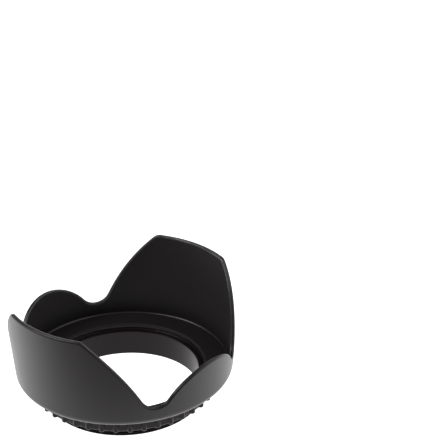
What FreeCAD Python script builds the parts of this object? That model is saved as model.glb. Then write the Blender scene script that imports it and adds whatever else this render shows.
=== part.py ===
"""Screw-in petal lens hood: a threaded mount tube, a petal shade and a studded locking ring.

Millimetres, +Z up along the optical axis. The origin is the centre of the tube's lower end,
on which the hood stands. The tall petals are on the Y axis and the short ones on the X axis.
"""
import FreeCAD, Part
import math
import os
import Sketcher

DIMENSIONS = {
    # mount tube
    "thread_radius": 33.5,
    "thread_end": 3.9,
    "shank_radius": 33.1,
    "tube_bore_radius": 31.1,
    "tube_height": 11.25,
    "lead_in": 0.35,
    # running clearance between the tube's shank and the ring and shade that turn on it
    "turning_clearance": 0.09,
    # locking ring
    "ring_bottom": 5.2,
    "ring_web_top": 8.3,
    "ring_skirt_top": 11.9,
    "ring_body_radius": 38.0,
    "ring_skirt_bore": 36.8,
    "ring_edge_round": 0.3,
    "stud_radius": 1.2,
    "stud_axis_radius": 38.15,
    "stud_count": 42,
    "stud_phase": -2.7,
    # shade: hub, floor and wall
    "hub_bottom": 8.4,
    "hub_radius": 36.4,
    "ledge_height": 11.3,
    "opening_radius": 33.6,
    "opening_round": 1.0,
    "underside": 12.15,
    "floor_top": 13.6,
    "base_radius": 45.55,
    "flare": 0.0752,
    "wall": 1.85,
    "shoulder_round": 3.4,
    "floor_round": 1.0,
    # shade: petal outline, laid out flat on a cylinder of layout_radius
    "layout_radius": 47.5,
    "tall_petal_height": 51.7,
    "short_petal_height": 32.2,
    "tall_corner_angle": 23.0,
    "side_foot_angle": 52.7,
    "side_foot_height": 20.6,
    "tall_side_radius": 104.5,
    "short_petal_radius": 27.0,
    "tall_corner_round": 4.5,
    "notch_round": 7.0,
    # extra height of the turned blank, which the petal cut takes off
    "blank_extra": 3.0,
}
SHEET = "dimensions"


def make_sheet(doc):
    """Write each driving dimension to a cell with its name as the alias."""
    sheet = doc.addObject("Spreadsheet::Sheet", SHEET)
    for row, (name, value) in enumerate(DIMENSIONS.items(), start=1):
        sheet.set(f"A{row}", name)
        sheet.set(f"B{row}", str(value))
        sheet.setAlias(f"B{row}", name)
    doc.recompute()
    return sheet


def origin_plane(body, role):
    """Return one of a body's own origin planes."""
    return next(item for item in body.Origin.OriginFeatures if item.Role == role)


def new_sketch(body, name, role):
    """Add a sketch on one of the body's origin planes."""
    sketch = body.newObject("Sketcher::SketchObject", name)
    sketch.AttachmentSupport = [(origin_plane(body, role), "")]
    sketch.MapMode = "FlatFace"
    return sketch


def place_point(sketch, edge, point, across, up):
    """Hold a sketch point at two sheet expressions, measured from the sketch origin."""
    for kind, expression in (("DistanceX", across), ("DistanceY", up)):
        constraint = sketch.addConstraint(Sketcher.Constraint(kind, -1, 1, edge, point, 1.0))
        sketch.setExpression(f"Constraints[{constraint}]", expression)


def profile_sketch(body, name, corners):
    """Draw a closed half section from (radius, height) expressions in the XZ plane."""
    sketch = new_sketch(body, name, "XZ_Plane")
    count = len(corners)
    turn = 2 * math.pi / count
    spots = [FreeCAD.Vector(40 + math.cos(turn * i), 10 + math.sin(turn * i), 0) for i in range(count)]
    for i in range(count):
        sketch.addGeometry(Part.LineSegment(spots[i], spots[(i + 1) % count]))
    for i in range(count):
        sketch.addConstraint(Sketcher.Constraint("Coincident", i, 2, (i + 1) % count, 1))
    for i, (radius, height) in enumerate(corners):
        place_point(sketch, i, 1, radius, height)
    return sketch


def turned_body(doc, name, corners):
    """Revolve a half section about Z."""
    body = doc.addObject("PartDesign::Body", name)
    body.Label = name
    sketch = profile_sketch(body, name + "_section", corners)
    turned = body.newObject("PartDesign::Revolution", name + "_turned")
    turned.Profile = sketch
    turned.ReferenceAxis = (sketch, ["V_Axis"])
    turned.Angle = 360.0
    doc.recompute()
    return body, turned


def circle_edges(feature, places):
    """Name the round edges about Z that lie at the given (radius, height) places."""
    names = []
    for index, edge in enumerate(feature.Shape.Edges, start=1):
        curve = edge.Curve
        if not isinstance(curve, Part.Circle) or math.hypot(curve.Center.x, curve.Center.y) > 0.01:
            continue
        for radius, height in places:
            if abs(curve.Radius - radius) < 0.01 and abs(curve.Center.z - height) < 0.01:
                names.append(f"Edge{index}")
    return names


def dress_edges(doc, body, feature, kind, name, places, size_name):
    """Round or chamfer the edges at the given places by a sheet dimension."""
    edges = circle_edges(feature, places)
    if len(edges) != len(places):
        raise RuntimeError(f"{name}: found {len(edges)} edges, wanted {len(places)}")
    dressed = body.newObject("PartDesign::" + kind, name)
    dressed.Base = (feature, edges)
    dressed.setExpression("Radius" if kind == "Fillet" else "Size", f"{SHEET}.{size_name}")
    doc.recompute()
    return dressed


def make_mount_tube(doc, size):
    """The threaded tube: the lens thread's major cylinder, and the narrower shank above it."""
    corners = [
        (f"{SHEET}.tube_bore_radius", "0"),
        (f"{SHEET}.thread_radius", "0"),
        (f"{SHEET}.thread_radius", f"{SHEET}.thread_end"),
        (f"{SHEET}.shank_radius", f"{SHEET}.thread_end"),
        (f"{SHEET}.shank_radius", f"{SHEET}.tube_height"),
        (f"{SHEET}.tube_bore_radius", f"{SHEET}.tube_height"),
    ]
    body, turned = turned_body(doc, "mount_tube", corners)
    ends = [(size.thread_radius, 0), (size.shank_radius, size.tube_height)]
    dress_edges(doc, body, turned, "Chamfer", "tube_lead_in", ends, "lead_in")
    return body


def make_locking_ring(doc, size):
    """The jam nut: a threaded web below, and a skirt with studs round the shade's hub."""
    bore = f"{SHEET}.shank_radius + {SHEET}.turning_clearance"
    corners = [
        (bore, f"{SHEET}.ring_bottom"),
        (f"{SHEET}.ring_body_radius", f"{SHEET}.ring_bottom"),
        (f"{SHEET}.ring_body_radius", f"{SHEET}.ring_skirt_top"),
        (f"{SHEET}.ring_skirt_bore", f"{SHEET}.ring_skirt_top"),
        (f"{SHEET}.ring_skirt_bore", f"{SHEET}.ring_web_top"),
        (bore, f"{SHEET}.ring_web_top"),
    ]
    body, turned = turned_body(doc, "locking_ring", corners)
    ends = [(size.ring_body_radius, size.ring_bottom), (size.ring_body_radius, size.ring_skirt_top)]
    dress_edges(doc, body, turned, "Fillet", "ring_edges", ends, "ring_edge_round")
    add_studs(doc, body)
    body.setExpression("Placement.Rotation.Angle", f"{SHEET}.stud_phase")
    return body


def add_studs(doc, body):
    """Stand one round grip stud on the ring and repeat it round the axis."""
    sketch = new_sketch(body, "stud_section", "XY_Plane")
    sketch.setExpression("AttachmentOffset.Base.z", f"{SHEET}.ring_bottom")
    sketch.addGeometry(Part.Circle(FreeCAD.Vector(38, 0, 0), FreeCAD.Vector(0, 0, 1), 1.0))
    place_point(sketch, 0, 3, f"{SHEET}.stud_axis_radius", "0")
    round_size = sketch.addConstraint(Sketcher.Constraint("Radius", 0, 1.0))
    sketch.setExpression(f"Constraints[{round_size}]", f"{SHEET}.stud_radius")
    doc.recompute()
    stud = body.newObject("PartDesign::Pad", "stud")
    stud.Profile = sketch
    stud.setExpression("Length", f"{SHEET}.ring_skirt_top - {SHEET}.ring_bottom")
    doc.recompute()
    studs = body.newObject("PartDesign::PolarPattern", "studs")
    studs.Originals = [stud]
    studs.Axis = (sketch, ["N_Axis"])
    studs.Angle = 360.0
    studs.setExpression("Occurrences", f"{SHEET}.stud_count")
    body.Tip = studs
    doc.recompute()


def make_shade_blank(doc, size):
    """The shade before its petals are cut: hub, floor, rounded shoulder and flared wall."""
    bore = f"{SHEET}.shank_radius + {SHEET}.turning_clearance"
    blank_top = f"({SHEET}.tall_petal_height + {SHEET}.blank_extra)"
    rise = f"{SHEET}.flare * ({blank_top} - {SHEET}.underside)"
    floor_rise = f"{SHEET}.flare * ({SHEET}.floor_top - {SHEET}.underside)"
    corners = [
        (bore, f"{SHEET}.hub_bottom"),
        (f"{SHEET}.hub_radius", f"{SHEET}.hub_bottom"),
        (f"{SHEET}.hub_radius", f"{SHEET}.underside"),
        (f"{SHEET}.base_radius", f"{SHEET}.underside"),
        (f"{SHEET}.base_radius + {rise}", blank_top),
        (f"{SHEET}.base_radius + {rise} - {SHEET}.wall", blank_top),
        (f"{SHEET}.base_radius + {floor_rise} - {SHEET}.wall", f"{SHEET}.floor_top"),
        (f"{SHEET}.opening_radius", f"{SHEET}.floor_top"),
        (f"{SHEET}.opening_radius", f"{SHEET}.ledge_height"),
        (bore, f"{SHEET}.ledge_height"),
    ]
    body, turned = turned_body(doc, "shade_blank", corners)
    shoulder = [(size.base_radius, size.underside)]
    step = dress_edges(doc, body, turned, "Fillet", "shoulder", shoulder, "shoulder_round")
    inner = size.base_radius + size.flare * (size.floor_top - size.underside) - size.wall
    step = dress_edges(doc, body, step, "Fillet", "bowl_corner", [(inner, size.floor_top)], "floor_round")
    opening = [(size.opening_radius, size.floor_top)]
    dress_edges(doc, body, step, "Fillet", "opening_edge", opening, "opening_round")
    return body


def arc_points(centre, radius, start, end, count):
    """Points along the shorter arc about centre, from above or below one end to the other."""
    first = math.atan2(start[1] - centre[1], start[0] - centre[0])
    last = math.atan2(end[1] - centre[1], end[0] - centre[0])
    sweep = (last - first + math.pi) % (2 * math.pi) - math.pi
    angles = [first + sweep * i / (count - 1) for i in range(count)]
    return [(centre[0] + radius * math.cos(a), centre[1] + radius * math.sin(a)) for a in angles]


def rounded_corner(level, centre, radius, size):
    """Round the outer corner between a level line and an arc that falls away from it.

    Returns the rounding's centre and its tangent points on the line and on the arc.
    """
    height = level - size
    reach = radius - size
    across = centre[0] + math.sqrt(reach ** 2 - (height - centre[1]) ** 2)
    middle = (across, height)
    return middle, (across, level), point_towards(centre, middle, radius)


def point_towards(centre, target, radius):
    """The point of an arc that lies in the direction of a target."""
    reach = math.dist(centre, target)
    return tuple(c + (t - c) * radius / reach for c, t in zip(centre, target))


def bridging_centre(first, first_reach, second, second_reach):
    """The point at two given distances from two centres, above the line between them."""
    apart = math.dist(first, second)
    along = (first_reach ** 2 - second_reach ** 2 + apart ** 2) / (2 * apart)
    above = math.sqrt(first_reach ** 2 - along ** 2)
    across, up = ((second[i] - first[i]) / apart for i in range(2))
    return first[0] + across * along - up * above, first[1] + up * along + across * above


def tall_side_centre(size):
    """Centre of the arc down a tall petal's side, from its unrounded corner to its foot."""
    corner = (math.radians(size.tall_corner_angle) * size.layout_radius, size.tall_petal_height)
    foot = (math.radians(size.side_foot_angle) * size.layout_radius, size.side_foot_height)
    chord = math.dist(corner, foot)
    depth = math.sqrt(size.tall_side_radius ** 2 - chord ** 2 / 4)
    lean = ((corner[1] - foot[1]) / chord, (foot[0] - corner[0]) / chord)
    return tuple((corner[i] + foot[i]) / 2 - lean[i] * depth for i in range(2))


def quarter_outline(size):
    """Petal outline laid out flat, from a tall petal's middle to a short petal's middle.

    Each stretch is a list of (distance round the layout cylinder, height) points.
    """
    top = size.tall_petal_height
    side = tall_side_centre(size)
    short_middle = math.pi / 2 * size.layout_radius
    short = (short_middle, size.short_petal_height - size.short_petal_radius)
    notch = bridging_centre(side, size.tall_side_radius + size.notch_round,
                            short, size.short_petal_radius + size.notch_round)
    notch_start = point_towards(side, notch, size.tall_side_radius)
    notch_end = point_towards(short, notch, size.short_petal_radius)
    top_round = rounded_corner(top, side, size.tall_side_radius, size.tall_corner_round)
    return [
        [(top_round[1][0] * i / 5, top) for i in range(6)],
        arc_points(top_round[0], size.tall_corner_round, top_round[1], top_round[2], 6),
        arc_points(side, size.tall_side_radius, top_round[2], notch_start, 11),
        arc_points(notch, size.notch_round, notch_start, notch_end, 11),
        arc_points(short, size.short_petal_radius, notch_end, (short_middle, size.short_petal_height), 11),
    ]


def wrapped_edge(stretch, turn, radius, height=None):
    """Wrap a flat stretch round the axis at a radius, or a level line above it."""
    points = []
    for angle, rise in stretch:
        bearing = turn(angle)
        z = rise if height is None else height
        points.append(FreeCAD.Vector(radius * math.cos(bearing), radius * math.sin(bearing), z))
    curve = Part.BSplineCurve()
    curve.interpolate(points)
    return curve.toShape()


def quarter_turns(layout_radius):
    """The four ways to lay the quarter outline round the axis, with its start on the Y axis."""
    return [
        lambda x: math.pi / 2 - x / layout_radius,
        lambda x: math.pi / 2 + x / layout_radius,
        lambda x: -math.pi / 2 - x / layout_radius,
        lambda x: -math.pi / 2 + x / layout_radius,
    ]


def make_petal_cutter(doc, size):
    """The crown of waste above the petal outline, with faces radial to the axis."""
    inner, outer = size.hub_radius, size.base_radius + 10
    top = size.tall_petal_height + size.blank_extra + 2
    faces = []
    for turn in quarter_turns(size.layout_radius):
        for stretch in quarter_outline(size):
            low_in = wrapped_edge(stretch, turn, inner)
            low_out = wrapped_edge(stretch, turn, outer)
            high_in = wrapped_edge(stretch, turn, inner, top)
            high_out = wrapped_edge(stretch, turn, outer, top)
            loop = [low_in, low_out, high_out, high_in]
            faces += [Part.makeRuledSurface(loop[i], loop[(i + 1) % 4]) for i in range(4)]
    shell = Part.makeShell(faces)
    shell.sewShape()
    solid = Part.makeSolid(Part.Shell(shell.Faces))
    if solid.Volume < 0:
        solid.reverse()
    cutter = doc.addObject("Part::Feature", "petal_cutter")
    cutter.Shape = solid
    return cutter


def make_shade(doc, size):
    """The shade: its turned blank with the petal outline cut through the wall."""
    shade = doc.addObject("Part::Cut", "shade")
    shade.Base = make_shade_blank(doc, size)
    shade.Tool = make_petal_cutter(doc, size)
    shade.Label = "shade"
    doc.recompute()
    if shade.Shape.Volume >= shade.Base.Shape.Volume:
        raise RuntimeError("shade: the petal cut removed nothing")
    return shade


def check_document(doc, parts):
    """Stop on any failed object and on any sub-part that is not one valid solid."""
    for item in doc.Objects:
        if "Invalid" in item.State or "Error" in item.State:
            raise RuntimeError(f"{item.Name}: {item.State}")
    for part in parts:
        shape = part.Shape
        if shape.isNull() or not shape.isValid() or len(shape.Solids) != 1:
            raise RuntimeError(f"{part.Label}: not one valid solid")
        box = shape.optimalBoundingBox()
        print(f"{part.Label}: {shape.Volume:.1f} mm3, z {box.ZMin:.2f} to {box.ZMax:.2f}, "
              f"x {box.XMin:.2f} to {box.XMax:.2f}, y {box.YMin:.2f} to {box.YMax:.2f}")


def main():
    doc = FreeCAD.newDocument("petal_lens_hood")
    size = make_sheet(doc)
    parts = [make_mount_tube(doc, size), make_locking_ring(doc, size), make_shade(doc, size)]
    doc.recompute()
    check_document(doc, parts)
    os.makedirs("parts", exist_ok=True)
    for part in parts:
        part.Shape.exportStep(f"parts/{part.Label}.step")


main()
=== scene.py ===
"""Screw-in petal lens hood, in metres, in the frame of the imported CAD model.

The tall petals are on the Y axis, the short ones on the X axis, and the hood stands on its mount tube.
The shape's own values are in millimetres, and each mesh is scaled to metres as it is made.
"""
import bpy
import math
import numpy as np
from mathutils import Euler, Matrix, Vector


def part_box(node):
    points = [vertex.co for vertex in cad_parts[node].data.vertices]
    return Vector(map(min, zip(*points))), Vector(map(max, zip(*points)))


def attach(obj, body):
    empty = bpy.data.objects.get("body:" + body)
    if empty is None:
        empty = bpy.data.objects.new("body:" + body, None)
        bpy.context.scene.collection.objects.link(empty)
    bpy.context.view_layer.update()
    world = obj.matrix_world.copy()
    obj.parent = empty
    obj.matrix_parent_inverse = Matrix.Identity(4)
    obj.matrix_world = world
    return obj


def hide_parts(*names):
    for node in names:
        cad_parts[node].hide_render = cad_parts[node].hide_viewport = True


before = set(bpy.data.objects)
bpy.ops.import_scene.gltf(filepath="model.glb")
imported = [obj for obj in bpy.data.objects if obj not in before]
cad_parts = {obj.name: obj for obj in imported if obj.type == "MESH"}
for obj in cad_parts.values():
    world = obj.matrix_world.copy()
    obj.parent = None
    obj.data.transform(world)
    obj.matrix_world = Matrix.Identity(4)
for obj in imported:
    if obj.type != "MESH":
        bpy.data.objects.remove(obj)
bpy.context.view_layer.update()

MM = 0.001

# ---- shade, in millimetres and degrees ----
LAYOUT_RADIUS = 47.5
TALL_CORNER_ANGLE = 23.0
SIDE_FOOT_ANGLE = 52.7
SIDE_FOOT_HEIGHT = 20.6
SHORT_HEIGHT = 32.2
TALL_SIDE_RADIUS = 104.5
SHORT_RADIUS = 27.0
TALL_CORNER_ROUND = 4.5
NOTCH_ROUND = 7.0
UNDERSIDE = 12.15
FLOOR_TOP = 13.6
BASE_RADIUS = 45.55
FLARE = 0.0752
LEAN = math.degrees(math.atan(FLARE))
WALL = 1.85
SHOULDER_ROUND = 3.4
FLOOR_ROUND = 1.0
OPENING_RADIUS = 33.6
OPENING_ROUND = 1.0
LEDGE_HEIGHT = 11.3
HUB_RADIUS = 36.4
BORE_RADIUS = 33.19
SMALL_ROUND = 0.2
# Each edge of the rim is rounded by this much across the wall, and this much down it.
RIM_INSIDE = (0.6, 0.8)
RIM_OUTSIDE = (0.7, 0.9)

# ---- locking ring, in millimetres and degrees ----
RING_BODY_RADIUS = 38.0
RING_SKIRT_BORE = 36.8
RING_WEB_TOP = 8.3
RING_EDGE_ROUND = 0.45
STUD_COUNT = 42
STUD_PITCH = 2 * math.pi / STUD_COUNT
STUD_PHASE = -2.7
STUD_RADIUS = 1.2
STUD_AXIS_RADIUS = 38.15
STUD_END_ROUND = 0.7
STUD_BLEND = 0.12
# Between the studs, their surface is taken to lie this far inside the ring's body.
STUD_GAP_DEPTH = 1.0

# ---- mount tube, in millimetres ----
THREAD_RADIUS = 33.5
THREAD_PITCH = 0.75
THREAD_DEPTH = 0.42
THREAD_END = 3.9
THREAD_RUN_IN = 0.4
THREAD_RUN_OUT = 0.6
THREAD_SHOULDER = 0.05
# In thread depths: how far a flank would drop over one pitch, and how much of it is cut off at the crest.
THREAD_FLANK = 2.4
THREAD_CREST = 0.2
LEAD_IN = 0.35
SHANK_RADIUS = 33.1
TUBE_BORE_RADIUS = 31.1
TUBE_LIP_ROUND = 0.35

# ---- how finely the meshes are divided ----
TOP_POINTS = 24
CORNER_POINTS = 15
SIDE_POINTS = 52
NOTCH_POINTS = 26
SHORT_POINTS = 38
RIM_ROWS = 9
WALL_ROWS = 22
FLOOR_ROWS = 3
SHOULDER_ROWS = 13
FLOOR_ROUND_ROWS = 7
OPENING_ROWS = 8
SMALL_ROUND_ROWS = 4
# The close columns over a stud reach this many stud radii to each side of its middle.
STUD_REACH = 1.35
STUD_COLUMNS = 15
GAP_COLUMNS = 4
# The rows near each end of the ring lie at these depths from it, in millimetres.
RING_END_DEPTHS = (0, 0.03, 0.08, 0.16, 0.28, 0.45, 0.7, 0.8)
TUBE_COLUMNS = 360
THREAD_ROWS = 61
LIP_OUTER_ROWS = 5
LIP_INNER_ROWS = 6
# A guard row stands this many millimetres from each end of a straight run, or at this share of a short one.
GUARD_DISTANCE = 0.1
GUARD_SHARE = 0.25
# A run with no length counts as this long, in millimetres.
SHORTEST_RUN = 1e-6


def node_heights(node):
    """Lowest and highest point of a CAD node, in millimetres."""
    low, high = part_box(node)
    return low.z / MM, high.z / MM


# ---- section helpers: a row is a (radius, height) pair, each one number or one per column ----

def straight(start, end, count=1):
    """Rows between two rows, both left out, with one close to each end to hold smooth shading."""
    start, end = [tuple(np.asarray(value, float) for value in row) for row in (start, end)]
    length = np.hypot(end[0] - start[0], end[1] - start[1])
    near = np.minimum(GUARD_DISTANCE / np.maximum(length, SHORTEST_RUN), GUARD_SHARE)
    between = [near + (1 - 2 * near) * i / (count + 1) for i in range(1, count + 1)]
    return [tuple(a + (b - a) * step for a, b in zip(start, end)) for step in [near, *between, 1 - near]]


def arc(centre, radius, first, last, count=SMALL_ROUND_ROWS):
    """Rows along an arc in the section, from one angle to another in degrees."""
    rows = []
    for i in range(count):
        angle = math.radians(first + (last - first) * i / (count - 1))
        rows.append((centre[0] + radius * math.cos(angle), centre[1] + radius * math.sin(angle)))
    return rows


def chain(rows, stretches):
    """Rows followed by more stretches of rows, each one led up to by a straight run."""
    for stretch in stretches:
        rows = rows + straight(rows[-1], stretch[0]) + stretch
    return rows


def outward_faces(radius, height):
    """Quads over a closed grid of rows and columns, turned over where they would face inward."""
    here = np.arange(radius.size).reshape(radius.shape)
    along = np.roll(here, -1, axis=0)
    faces = np.stack([here, np.roll(here, -1, 1), np.roll(along, -1, 1), along], axis=-1).reshape(-1, 4)
    turning = np.sum(radius * np.roll(height, -1, axis=0) - np.roll(radius, -1, axis=0) * height)
    return faces[:, ::-1] if turning < 0 else faces


def mark_rows(mesh, label, marked, shape):
    """Store a number on every point: 1 on the marked rows and 0 on the others."""
    amount = np.zeros(shape, np.float32)
    amount[list(marked)] = 1.0
    mesh.attributes.new(label, "FLOAT", "POINT").data.foreach_set("value", amount.ravel())


def turned_mesh(name, angles, rows, wear_and_highlight_rows=(), matte_rows=()):
    """A closed mesh from section rows carried round the axis through the given angles."""
    columns = len(angles)
    radius = np.stack([np.broadcast_to(row[0], columns) for row in rows]).astype(float)
    height = np.stack([np.broadcast_to(row[1], columns) for row in rows]).astype(float)
    points = np.stack([radius * np.cos(angles), radius * np.sin(angles), height], axis=-1) * MM
    faces = outward_faces(radius, height)
    mesh = bpy.data.meshes.new(name)
    mesh.from_pydata(points.reshape(-1, 3).tolist(), [], faces.tolist())
    mesh.validate()
    mesh.shade_smooth()
    # Marked edges get a lighter colour in the material: partly wear, partly a painted highlight.
    mark_rows(mesh, "wear_and_highlight", wear_and_highlight_rows, radius.shape)
    mark_rows(mesh, "matte", matte_rows, radius.shape)
    piece = bpy.data.objects.new(name, mesh)
    bpy.context.scene.collection.objects.link(piece)
    piece.modifiers.new("even_shading", "WEIGHTED_NORMAL")
    return piece


# ---- shade ----

def arc_stretch(centre, radius, start, end, count):
    """Outline points (distance round, height, slope) along the shorter arc between two points."""
    first = math.atan2(start[1] - centre[1], start[0] - centre[0])
    last = math.atan2(end[1] - centre[1], end[0] - centre[0])
    sweep = (last - first + math.pi) % (2 * math.pi) - math.pi
    stretch = []
    for i in range(count):
        angle = first + sweep * i / (count - 1)
        x, z = math.cos(angle), math.sin(angle)
        stretch.append((centre[0] + radius * x, centre[1] + radius * z, -x / z))
    return stretch


def point_towards(centre, target, radius):
    """The point of an arc that lies in the direction of a target."""
    reach = math.dist(centre, target)
    return tuple(c + (t - c) * radius / reach for c, t in zip(centre, target))


def rounded_corner(level, centre, radius, size):
    """Centre and two tangent points of the rounding between a level line and an arc below it."""
    height = level - size
    across = centre[0] + math.sqrt((radius - size) ** 2 - (height - centre[1]) ** 2)
    middle = (across, height)
    return middle, (across, level), point_towards(centre, middle, radius)


def bridging_centre(first, first_reach, second, second_reach):
    """The point at two given distances from two centres, above the line between them."""
    apart = math.dist(first, second)
    along = (first_reach ** 2 - second_reach ** 2 + apart ** 2) / (2 * apart)
    above = math.sqrt(first_reach ** 2 - along ** 2)
    across, up = ((second[i] - first[i]) / apart for i in range(2))
    return first[0] + across * along - up * above, first[1] + up * along + across * above


def tall_side_centre(top):
    """Centre of the arc down a tall petal's side, from its unrounded corner to its foot."""
    corner = (math.radians(TALL_CORNER_ANGLE) * LAYOUT_RADIUS, top)
    foot = (math.radians(SIDE_FOOT_ANGLE) * LAYOUT_RADIUS, SIDE_FOOT_HEIGHT)
    chord = math.dist(corner, foot)
    depth = math.sqrt(TALL_SIDE_RADIUS ** 2 - chord ** 2 / 4)
    lean = ((corner[1] - foot[1]) / chord, (foot[0] - corner[0]) / chord)
    return tuple((corner[i] + foot[i]) / 2 - lean[i] * depth for i in range(2))


def quarter_outline(top):
    """Petal outline laid out flat, from a tall petal's middle to a short petal's middle."""
    side = tall_side_centre(top)
    middle = math.pi / 2 * LAYOUT_RADIUS
    short = (middle, SHORT_HEIGHT - SHORT_RADIUS)
    notch = bridging_centre(side, TALL_SIDE_RADIUS + NOTCH_ROUND, short, SHORT_RADIUS + NOTCH_ROUND)
    notch_start = point_towards(side, notch, TALL_SIDE_RADIUS)
    notch_end = point_towards(short, notch, SHORT_RADIUS)
    corner, corner_start, corner_end = rounded_corner(top, side, TALL_SIDE_RADIUS, TALL_CORNER_ROUND)
    last = TOP_POINTS - 1
    points = [(corner_start[0] * i / last, top, 0.0) for i in range(TOP_POINTS)]
    stretches = [
        arc_stretch(corner, TALL_CORNER_ROUND, corner_start, corner_end, CORNER_POINTS),
        arc_stretch(side, TALL_SIDE_RADIUS, corner_end, notch_start, SIDE_POINTS),
        arc_stretch(notch, NOTCH_ROUND, notch_start, notch_end, NOTCH_POINTS),
        arc_stretch(short, SHORT_RADIUS, notch_end, (middle, SHORT_HEIGHT), SHORT_POINTS),
    ]
    for stretch in stretches:
        points = points + stretch[1:]
    return np.array(points)


def whole_outline(top):
    """Angle, height and steepness of the rim at every column round the shade."""
    quarter = quarter_outline(top)
    turn = quarter[:, 0] / LAYOUT_RADIUS
    back = slice(-2, 0, -1)
    half_turn = np.concatenate([turn, math.pi - turn[back]])
    half_shape = np.concatenate([quarter[:, 1:], quarter[back, 1:]])
    angles = np.concatenate([half_turn, half_turn + math.pi]) + math.pi / 2
    shape = np.concatenate([half_shape, half_shape])
    return angles, shape[:, 0], np.abs(shape[:, 1])


def outer_radius(height):
    """Outside radius of the flared wall at a height."""
    return BASE_RADIUS + FLARE * (height - UNDERSIDE)


def rim_round(face, rim, steep, size, side):
    """Rows over one edge of the rim, from the wall's face up to the top, deeper where the rim is steep.

    Side is 1 for the inner edge and -1 for the outer one.
    """
    across, depth = size
    rows = []
    for turn in np.linspace(0, math.pi / 2, RIM_ROWS):
        drop = depth * steep * (1 - math.sin(turn))
        rows.append((face + side * across * (1 - math.cos(turn)), rim - drop))
    return rows


def floor_corner():
    """Rounding from the bowl's floor to the inside of the wall."""
    middle = outer_radius(FLOOR_TOP) - WALL - FLOOR_ROUND
    return arc((middle, FLOOR_TOP + FLOOR_ROUND), FLOOR_ROUND, -90, -LEAN, FLOOR_ROUND_ROWS)


def shoulder_round():
    """Rounding from the outside of the wall to the underside."""
    middle = BASE_RADIUS + SHOULDER_ROUND * (FLARE - math.hypot(1, FLARE))
    return arc((middle, UNDERSIDE + SHOULDER_ROUND), SHOULDER_ROUND, -LEAN, -90, SHOULDER_ROWS)


def opening_round():
    """Rounding from the opening in the floor to the floor."""
    middle = (OPENING_RADIUS + OPENING_ROUND, FLOOR_TOP - OPENING_ROUND)
    return arc(middle, OPENING_ROUND, 180, 90, OPENING_ROWS)


def hub_stretches(bottom):
    """The root, the outside and the bore of the hub, and the ledge between its bore and the opening."""
    outer_foot = arc((HUB_RADIUS - SMALL_ROUND, bottom + SMALL_ROUND), SMALL_ROUND, 0, -90)
    inner_foot = arc((BORE_RADIUS + SMALL_ROUND, bottom + SMALL_ROUND), SMALL_ROUND, -90, -180)
    ledge = [[(BORE_RADIUS, LEDGE_HEIGHT)], [(OPENING_RADIUS, LEDGE_HEIGHT)]]
    return [[(HUB_RADIUS, UNDERSIDE)], outer_foot, inner_foot, *ledge]


def make_shade():
    """The petal shade as one closed shell, with its rim rounded on both edges."""
    hub_bottom, top = node_heights("shade")
    angles, rim, slope = whole_outline(top)
    steep = np.sqrt(1 + slope ** 2)
    outside = outer_radius(rim)
    corner = floor_corner()
    inner_rim = rim_round(outside - WALL, rim, steep, RIM_INSIDE, 1)
    outer_rim = rim_round(outside, rim, steep, RIM_OUTSIDE, -1)[::-1]
    shoulder = shoulder_round()
    opening = opening_round()

    rows = corner + straight(corner[-1], inner_rim[0], WALL_ROWS)
    first_rim = len(rows)
    rows = rows + inner_rim + straight(inner_rim[-1], outer_rim[0]) + outer_rim
    rows = rows + straight(outer_rim[-1], shoulder[0], WALL_ROWS) + shoulder
    rows = chain(rows, [*hub_stretches(hub_bottom), [opening[0]]])
    first_floor = len(rows)
    rows = rows + opening[1:] + straight(opening[-1], rows[0], FLOOR_ROWS)

    # The rim's inner edge is lightened: partly wear, partly a painted highlight line along it.
    wear_and_highlight = range(first_rim, first_rim + len(inner_rim))
    matte = [*range(len(corner), first_rim), *range(first_floor, len(rows))]
    return turned_mesh("shade_shell", angles, rows, wear_and_highlight, matte)


# ---- locking ring ----

def stud_columns():
    """Column angles round the ring, close together over each stud and its root."""
    reach = STUD_REACH * STUD_RADIUS / STUD_AXIS_RADIUS
    over = np.linspace(-reach, reach, STUD_COLUMNS)
    gap = np.linspace(reach, STUD_PITCH - reach, GAP_COLUMNS + 2)[1:-1]
    local = np.concatenate([over, gap])
    first = math.radians(STUD_PHASE)
    return np.concatenate([local + STUD_PITCH * i for i in range(STUD_COUNT)]) + first


def rounded_in(full, size, depth):
    """Radius at a depth from an end with a rounded edge: smaller within the rounding, full below it."""
    short = max(size - depth, 0)
    return full - size + math.sqrt(size ** 2 - short ** 2)


def stud_surface(angles, body, depth):
    """Radius of the ring's outside, where the studs are melted into a body of the given radius."""
    local = (angles - math.radians(STUD_PHASE) + STUD_PITCH / 2) % STUD_PITCH - STUD_PITCH / 2
    size = rounded_in(STUD_RADIUS, STUD_END_ROUND, depth)
    offset = STUD_AXIS_RADIUS * np.sin(local)
    over = np.sqrt(np.maximum(size ** 2 - offset ** 2, 0))
    gap = body - STUD_GAP_DEPTH
    stud = np.where(np.abs(offset) < size, STUD_AXIS_RADIUS * np.cos(local) + over, gap)
    return (body + stud + np.sqrt((body - stud) ** 2 + STUD_BLEND ** 2)) / 2


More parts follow.
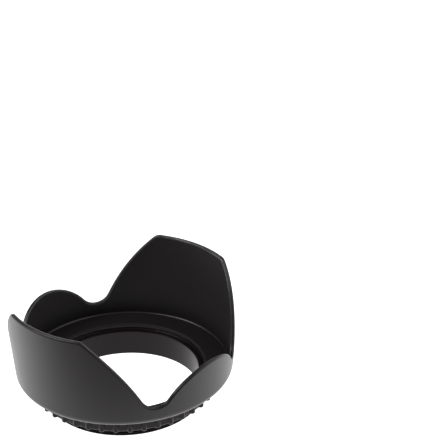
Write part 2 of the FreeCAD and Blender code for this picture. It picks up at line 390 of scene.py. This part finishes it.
def make_locking_ring():
    """The jam nut: threaded web, skirt round the hub, and round grip studs outside."""
    bottom, top = node_heights("locking_ring")
    angles = stud_columns()
    half = (top - bottom) / 2
    lower = [*RING_END_DEPTHS, half / 2, half]
    upper = lower[-2::-1]
    outside = []
    for depth, height in [(d, bottom + d) for d in lower] + [(d, top - d) for d in upper]:
        body = rounded_in(RING_BODY_RADIUS, RING_EDGE_ROUND, depth)
        outside.append((stud_surface(angles, body, depth), height))
    skirt_inner = arc((RING_SKIRT_BORE + SMALL_ROUND, top - SMALL_ROUND), SMALL_ROUND, 90, 180)
    bore_top = arc((BORE_RADIUS + SMALL_ROUND, RING_WEB_TOP - SMALL_ROUND), SMALL_ROUND, 90, 180)
    bore_low = arc((BORE_RADIUS + SMALL_ROUND, bottom + SMALL_ROUND), SMALL_ROUND, 180, 270)
    web_corner = [(RING_SKIRT_BORE, RING_WEB_TOP)]
    rows = chain(outside, [skirt_inner, web_corner, bore_top, bore_low, [outside[0]]])
    # The ring's lower edge is lightened: partly wear, partly a painted highlight line along it.
    wear_and_highlight = [i for i, depth in enumerate(lower) if depth < RING_EDGE_ROUND]
    return turned_mesh("locking_ring_studded", angles, rows[:-1], wear_and_highlight)


# ---- mount tube ----

def thread_radius(angles, height):
    """Radius of the right-handed external thread, fading out towards both of its ends."""
    phase = (height / THREAD_PITCH - angles / (2 * math.pi)) % 1.0
    groove = np.clip((0.5 - np.abs(phase - 0.5)) * THREAD_FLANK - THREAD_CREST, 0, 1)
    fade = min((height - LEAD_IN) / THREAD_RUN_IN, (THREAD_END - height) / THREAD_RUN_OUT, 1.0)
    return THREAD_RADIUS - THREAD_DEPTH * groove * max(fade, 0.0)


def make_mount_tube():
    """The tube, with its filter thread cut as a real helix below the ring."""
    bottom, top = node_heights("mount_tube")
    angles = np.linspace(0, 2 * math.pi, TUBE_COLUMNS + 1)[:-1]
    heights = np.linspace(LEAD_IN, THREAD_END, THREAD_ROWS)
    lip = top - TUBE_LIP_ROUND
    inner_low = arc((TUBE_BORE_RADIUS + SMALL_ROUND, bottom + SMALL_ROUND), SMALL_ROUND, 180, 270)
    lead_in = [(THREAD_RADIUS - LEAD_IN, bottom)]
    thread = [(thread_radius(angles, height), height) for height in heights]
    shank_foot = [(SHANK_RADIUS, THREAD_END + THREAD_SHOULDER)]
    outer_top = arc((SHANK_RADIUS - TUBE_LIP_ROUND, lip), TUBE_LIP_ROUND, 0, 90, LIP_OUTER_ROWS)
    inner_top = arc((TUBE_BORE_RADIUS + TUBE_LIP_ROUND, lip), TUBE_LIP_ROUND, 90, 180, LIP_INNER_ROWS)
    rows = chain(inner_low, [lead_in, thread, shank_foot, outer_top, inner_top, [inner_low[0]]])
    return turned_mesh("mount_tube_threaded", angles, rows[:-1])


# ---- materials ----

BLACK_PLASTIC = (0.0078, 0.0047, 0.0060)
MATTE_PLASTIC = (0.0143, 0.0121, 0.0131)
# Lighter colour on the marked edges: partly wear, partly a painted highlight line.
WEAR_AND_HIGHLIGHT_PLASTIC = (0.064, 0.062, 0.062)
SPECULAR = 0.5
# Matte rows reflect less and are rougher by this much, and the worn edges with their painted highlight are
# smoother by this much.
MATTE_DULLING = 0.3
MATTE_ROUGHNESS = 0.22
WEAR_AND_HIGHLIGHT_POLISH = 0.22
# The cloudiness leaves at least this share of the edge wear and painted highlight.
WEAR_AND_HIGHLIGHT_LEAST = 0.25
CLOUD_TINT = 0.15
CLOUD_ROUGHNESS = 0.03
CLOUD_NOISE = {"Scale": 55.0, "Detail": 4.0, "Roughness": 0.6}
GRAIN_NOISE = {"Detail": 3.0, "Roughness": 0.55}
GRAIN_STRENGTH = 0.6
# Most of a noise lies between these values.
NOISE_LOW = 0.3
NOISE_HIGH = 0.7
# Each finish: roughness, index of refraction, and the size and depth of the grain in millimetres.
SHADE_FINISH = (0.34, 1.47, 0.16, 0.012)
RING_FINISH = (0.34, 1.30, 0.18, 0.010)
TUBE_FINISH = (0.30, 1.25, 0.25, 0.006)


def set_inputs(tree, node, inputs):
    """Link other nodes' outputs to a node's inputs, or give the inputs plain values."""
    for key, value in inputs.items():
        if isinstance(value, bpy.types.NodeSocket):
            tree.links.new(value, node.inputs[key])
        else:
            node.inputs[key].default_value = value


def add_node(tree, kind, inputs=None, **settings):
    """Add a shader node, set its properties, and link or set its inputs."""
    node = tree.nodes.new(kind)
    for key, value in settings.items():
        setattr(node, key, value)
    set_inputs(tree, node, inputs or {})
    return node


def ramp(tree, source, low, high, start=NOISE_LOW, end=NOISE_HIGH, kind="LINEAR"):
    """Map a value from between start and end to between low and high."""
    inputs = {"Value": source, "From Min": start, "From Max": end, "To Min": low, "To Max": high}
    return add_node(tree, "ShaderNodeMapRange", inputs, interpolation_type=kind).outputs["Result"]


def plain(colour, factor=1.0):
    """A colour times a factor, with its alpha."""
    return (*[channel * factor for channel in colour], 1)


def blend(tree, start, colour, amount):
    """Blend a colour towards another one by an amount from 0 to 1."""
    inputs = {"A": start, "B": colour, "Factor": amount}
    return add_node(tree, "ShaderNodeMix", inputs, data_type="RGBA").outputs["Result"]


def scaled_sum(tree, value, factor, offset=0.0):
    """A value times a factor plus an offset."""
    inputs = {0: value, 1: factor, 2: offset}
    return add_node(tree, "ShaderNodeMath", inputs, operation="MULTIPLY_ADD").outputs["Value"]


def distance_along(tree, place, direction):
    """How far a place lies along a direction."""
    inputs = {0: place, 1: direction}
    return add_node(tree, "ShaderNodeVectorMath", inputs, operation="DOT_PRODUCT").outputs["Value"]


def noise(tree, inputs):
    """Noise that stays on the piece as it moves."""
    place = add_node(tree, "ShaderNodeTexCoord").outputs["Object"]
    return add_node(tree, "ShaderNodeTexNoise", {"Vector": place, **inputs}).outputs["Fac"]


def marked(tree, label):
    """The number that mark_rows stored on the piece's points."""
    return add_node(tree, "ShaderNodeAttribute", attribute_name=label).outputs["Fac"]


def moulded_plastic(name, finish):
    """Black moulded plastic: fine grain, faint cloudiness, matte areas, and edges lightened as wear and as
    a painted highlight.
    """
    roughness, ior, grain_size, grain_depth = finish
    material = bpy.data.materials.new(name)
    material.use_nodes = True
    tree = material.node_tree
    cloud = noise(tree, CLOUD_NOISE)
    grain = noise(tree, {"Scale": 1 / (grain_size * MM), **GRAIN_NOISE})
    matte = marked(tree, "matte")
    wear_and_highlight = scaled_sum(tree, marked(tree, "wear_and_highlight"), ramp(tree, cloud, WEAR_AND_HIGHLIGHT_LEAST, 1.0))

    darker, lighter = plain(BLACK_PLASTIC, 1 - CLOUD_TINT), plain(BLACK_PLASTIC, 1 + CLOUD_TINT)
    colour = blend(tree, darker, lighter, ramp(tree, cloud, 0.0, 1.0))
    # Marked edges lightened: partly wear, partly a painted highlight.
    colour = blend(tree, colour, plain(WEAR_AND_HIGHLIGHT_PLASTIC), wear_and_highlight)
    colour = blend(tree, colour, plain(MATTE_PLASTIC), matte)

    rough = ramp(tree, cloud, roughness - CLOUD_ROUGHNESS, roughness + CLOUD_ROUGHNESS)
    rough = scaled_sum(tree, wear_and_highlight, -WEAR_AND_HIGHLIGHT_POLISH, rough)
    rough = scaled_sum(tree, matte, MATTE_ROUGHNESS, rough)

    relief = {"Strength": GRAIN_STRENGTH, "Distance": grain_depth * MM, "Height": grain}
    set_inputs(tree, tree.nodes["Principled BSDF"], {
        "Base Color": colour,
        "Roughness": rough,
        "Specular IOR Level": scaled_sum(tree, matte, -MATTE_DULLING, SPECULAR),
        "IOR": ior,
        "Normal": add_node(tree, "ShaderNodeBump", relief).outputs["Normal"],
    })
    return material


def dress(piece, body, node, material):
    """Finish a piece: its material, the body it rides on, and the CAD node it stands for."""
    piece.data.materials.append(material)
    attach(piece, body)
    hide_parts(node)
    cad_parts[node].data.materials.clear()
    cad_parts[node].data.materials.append(material)


# ---- studio, in metres ----

# Level directions: the floor falls off towards the front, and the surroundings reach higher at the back.
FRONT = (0.62, -0.785, 0.0)
BACK = (-0.423, 0.906, 0.0)
WHITE = (1, 1, 1, 1)

FLOOR_REACH = 4.0
FLOOR_DROP = 0.05 * MM
FLOOR_GREY = (0.3, 0.3, 0.3, 1)
FLOOR_ROUGHNESS = 0.9
FLOOR_SPECULAR = 0.1
# The floor's glow near the hood and far in front of it, and where it falls from one to the other.
GLOW_NEAR = 1.4
GLOW_FAR = 0.3
GLOW_START = 25 * MM
GLOW_END = 105 * MM

# The surroundings' brightness at the horizon and overhead, how far up (of 1) the fall from one to the
# other ends, and how much further up it ends at the back.
WORLD_LOW = 1.15
WORLD_HIGH = 0.05
WORLD_FADE_END = 0.45
WORLD_BACK_REACH = 0.4

# Each light: its place, its size, and its power in watts.
SOFT_LIGHTS = {
    "back_softbox": ((0.55, 0.35, 0.62), 0.8, 3),
    "left_softbox": ((-0.41, -0.49, 0.64), 0.5, 4.2),
    "overhead_fill": ((0.3, -0.36, 0.78), 1.2, 1.5),
}

# The camera's place is a bearing, an elevation and a distance from a point over the origin.
# Its heading, dip and roll point it, all in degrees. The lens and the sensor are in millimetres.
CAMERA_BEARING = 43.330
CAMERA_ELEVATION = 30.618
CAMERA_DISTANCE = 0.59337
CAMERA_BASE_HEIGHT = 0.025
CAMERA_HEADING = 38.551
CAMERA_DIP = 26.012
CAMERA_ROLL = -0.648
CAMERA_LENS = 112.990
CAMERA_SENSOR = 36.0


def make_floor():
    """A wide plain pale floor, bright under and behind the hood and falling off in front of it."""
    mesh = bpy.data.meshes.new("floor")
    corners = [(x * FLOOR_REACH, y * FLOOR_REACH, 0) for x, y in ((-1, -1), (1, -1), (1, 1), (-1, 1))]
    mesh.from_pydata(corners, [], [(0, 1, 2, 3)])
    floor = bpy.data.objects.new("floor", mesh)
    floor.location.z = -FLOOR_DROP
    bpy.context.scene.collection.objects.link(floor)
    material = bpy.data.materials.new("pale_floor")
    material.use_nodes = True
    tree = material.node_tree
    place = add_node(tree, "ShaderNodeTexCoord").outputs["Object"]
    forward = distance_along(tree, place, FRONT)
    set_inputs(tree, tree.nodes["Principled BSDF"], {
        "Base Color": FLOOR_GREY,
        "Roughness": FLOOR_ROUGHNESS,
        "Specular IOR Level": FLOOR_SPECULAR,
        "Emission Color": WHITE,
        "Emission Strength": ramp(tree, forward, GLOW_NEAR, GLOW_FAR, GLOW_START, GLOW_END, "SMOOTHSTEP"),
    })
    mesh.materials.append(material)


def make_world():
    """White surroundings that are bright low down, reach higher at the back and are dim overhead."""
    world = bpy.data.worlds.new("studio")
    world.use_nodes = True
    tree = world.node_tree
    place = add_node(tree, "ShaderNodeTexCoord").outputs["Generated"]
    height = add_node(tree, "ShaderNodeSeparateXYZ", {"Vector": place}).outputs["Z"]
    level = scaled_sum(tree, distance_along(tree, place, BACK), -WORLD_BACK_REACH, height)
    strength = ramp(tree, level, WORLD_LOW, WORLD_HIGH, 0.0, WORLD_FADE_END)
    set_inputs(tree, tree.nodes["Background"], {"Color": WHITE, "Strength": strength})
    bpy.context.scene.world = world


def soft_light(name, place, size, power):
    """A square soft light aimed at the hood."""
    data = bpy.data.lights.new(name, "AREA")
    data.size = size
    data.energy = power
    light = bpy.data.objects.new(name, data)
    light.location = place
    light.rotation_euler = (-Vector(place)).to_track_quat("-Z", "Y").to_euler()
    bpy.context.scene.collection.objects.link(light)


def make_camera():
    """The camera looks down at the hood, which stands left of and below its axis."""
    bearing, elevation = math.radians(CAMERA_BEARING), math.radians(CAMERA_ELEVATION)
    heading, dip, roll = (math.radians(angle) for angle in (CAMERA_HEADING, CAMERA_DIP, CAMERA_ROLL))
    data = bpy.data.cameras.new("camera")
    data.lens = CAMERA_LENS
    data.sensor_width = CAMERA_SENSOR
    camera = bpy.data.objects.new("camera", data)
    across = CAMERA_DISTANCE * math.cos(elevation)
    camera.location = (across * math.sin(bearing), -across * math.cos(bearing),
                       CAMERA_BASE_HEIGHT + CAMERA_DISTANCE * math.sin(elevation))
    level = Euler((math.pi / 2 - dip, 0, heading), "XYZ").to_matrix()
    camera.rotation_euler = (level @ Matrix.Rotation(roll, 3, "Z")).to_euler()
    bpy.context.scene.collection.objects.link(camera)
    bpy.context.scene.camera = camera


def main():
    """Make the three pieces, dress them, and set up the studio."""
    shade_plastic = moulded_plastic("shade_plastic", SHADE_FINISH)
    ring_plastic = moulded_plastic("ring_plastic", RING_FINISH)
    tube_plastic = moulded_plastic("tube_plastic", TUBE_FINISH)
    dress(make_mount_tube(), "mount", "mount_tube", tube_plastic)
    dress(make_locking_ring(), "ring", "locking_ring", ring_plastic)
    dress(make_shade(), "hood", "shade", shade_plastic)
    make_floor()
    make_world()
    for name, (place, size, power) in SOFT_LIGHTS.items():
        soft_light(name, place, size, power)
    make_camera()
    bpy.context.scene.view_settings.view_transform = "Standard"


main()
